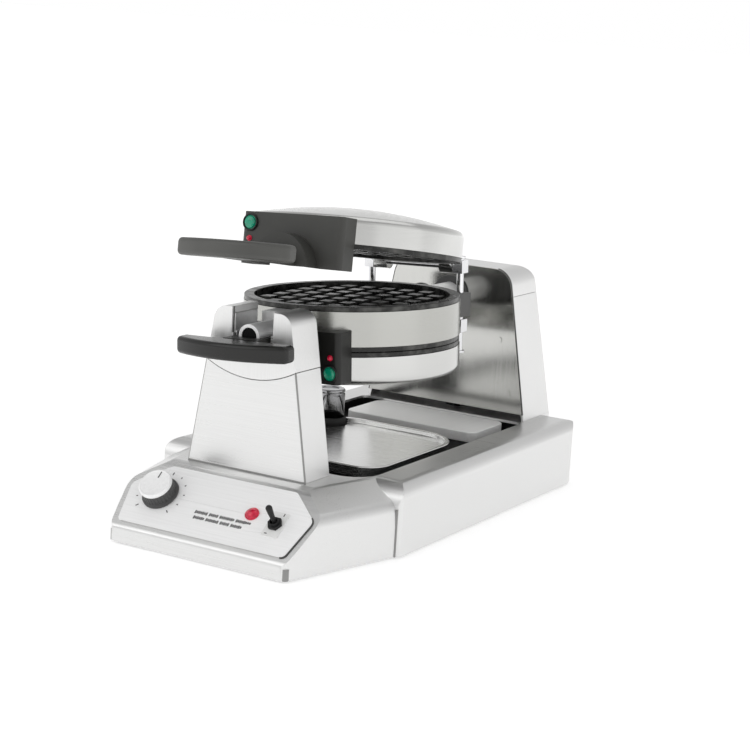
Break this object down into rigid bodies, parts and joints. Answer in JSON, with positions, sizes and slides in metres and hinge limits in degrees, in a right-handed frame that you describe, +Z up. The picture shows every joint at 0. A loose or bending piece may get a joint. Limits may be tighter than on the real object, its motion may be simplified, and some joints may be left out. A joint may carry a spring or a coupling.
{
  "type": "waffle maker",
  "caption": "Double rotating waffle maker: round cooking body with an upper and a lower lid turns between two steel towers on a base with a knob, a switch and a drip tray.",
  "frame": {"origin": "bottom centre of the base, on the surface it stands on", "axes": "-Y is the front with the controls, +X the right-hand side seen from the front, +Z up"},
  "size_m": [0.265, 0.51, 0.2974],
  "materials": {
    "casing_steel": "fine satin, almost white",
    "cap_steel": "fine satin",
    "sheet_steel": "plain mill finish",
    "brushed_plate": "vertical brushing",
    "band_steel": "polished satin",
    "neck_steel": "machined",
    "tray_steel": "polished satin",
    "chrome": "bright",
    "screw_steel": "dark",
    "rubber": "matte",
    "panel_sheet": "satin white",
    "red_lens": "translucent red",
    "green_lens": "translucent green",
    "black_plastic": "moulded",
    "housing_plastic": "moulded, satin",
    "handle_plastic": "moulded, satin",
    "bearing_plastic": "machined",
    "white_plastic": "moulded",
    "board": "printed circuit board",
    "winding": "varnished copper",
    "ivory_plastic": "moulded",
    "wire_sleeve": "sleeved cable",
    "knob_silver": "spun face",
    "nonstick_grid": "black non-stick coating",
    "heater_sheath": "tubular sheath",
    "dark_casting": "cast, dark",
    "insulation": "ceramic fibre"
  },
  "bodies": {
    "base": {"base_shell": "casing_steel", "base_plate": "sheet_steel", "rubber_feet": "rubber", "base_screws": "screw_steel", "control_panel": "panel_sheet", "power_lamp": "red_lens", "switch_housing": "white_plastic", "switch_bushing": "black_plastic", "thermostat": "sheet_steel", "control_board": "board", "transformer": "winding", "ready_buzzer": "black_plastic", "terminal_block": "ivory_plastic", "wiring_loom": "wire_sleeve", "mains_gland": "black_plastic", "tray_well": "black_plastic", "tray_post": "chrome", "front_tower_shell": "casing_steel", "front_tower_cap": "cap_steel", "front_bearing": "sheet_steel", "rear_tower_shell": "casing_steel", "rear_tower_cap": "cap_steel", "rear_inner_plate": "brushed_plate", "rear_bearing": "bearing_plastic", "brush_holder": "black_plastic", "tower_screws": "brushed_plate", "rear_drip_plate": "tray_steel"},
    "tray": {"drip_tray": "tray_steel"},
    "knob": {"control_knob": "knob_silver"},
    "lever": {"switch_lever": "black_plastic"},
    "rotor": {"mid_band": "band_steel", "mid_grid_top": "nonstick_grid", "mid_grid_bottom": "nonstick_grid", "mid_heaters": "heater_sheath", "pivot_neck": "neck_steel", "hinge_yoke": "dark_casting", "hinge_posts": "chrome", "lower_carrier": "chrome", "rear_shaft": "neck_steel", "slip_ring": "winding", "lower_cover": "band_steel", "lower_grid": "nonstick_grid", "lower_heater": "heater_sheath", "lower_insulation": "insulation", "lower_housing": "housing_plastic", "lower_green_lamp": "green_lens", "lower_red_lamp": "red_lens", "lower_arm": "housing_plastic", "lower_handle": "handle_plastic"},
    "hinge_float": {"upper_carrier": "chrome"},
    "upper_lid": {"upper_cover": "band_steel", "upper_grid": "nonstick_grid", "upper_heater": "heater_sheath", "upper_insulation": "insulation", "upper_housing": "housing_plastic", "upper_green_lamp": "green_lens", "upper_red_lamp": "red_lens", "upper_arm": "housing_plastic", "upper_handle": "handle_plastic"}
  },
  "joints": [
    {"name": "body_turn", "type": "hinge", "parent": "base", "child": "rotor", "pos_m": [0, 0, 0.1915], "axis": [0, 1, 0], "range_deg": [-90, 90]},
    {"name": "hinge_rise", "type": "slide", "parent": "rotor", "child": "hinge_float", "axis": [-0.0558, 0, 0.9984], "range_m": [-0.017, 0.001]},
    {"name": "upper_lid_hinge", "type": "hinge", "parent": "hinge_float", "child": "upper_lid", "pos_m": [-0.00212, 0.112, 0.22944], "axis": [-0.9984, 0, -0.0558], "range_deg": [-9.5, 76]},
    {"name": "knob_turn", "type": "hinge", "parent": "base", "child": "knob", "pos_m": [-0.062, -0.22184, 0.04337], "axis": [0, -0.6366, 0.7712], "range_deg": [-140, 140]},
    {"name": "switch_throw", "type": "hinge", "parent": "base", "child": "lever", "pos_m": [0.0645, -0.22735, 0.04141], "axis": [1, 0, 0], "range_deg": [0, 12]},
    {"name": "tray_lift", "type": "slide", "parent": "base", "child": "tray", "axis": [0, 0, 1], "range_m": [0, 0.014]}
  ]
}
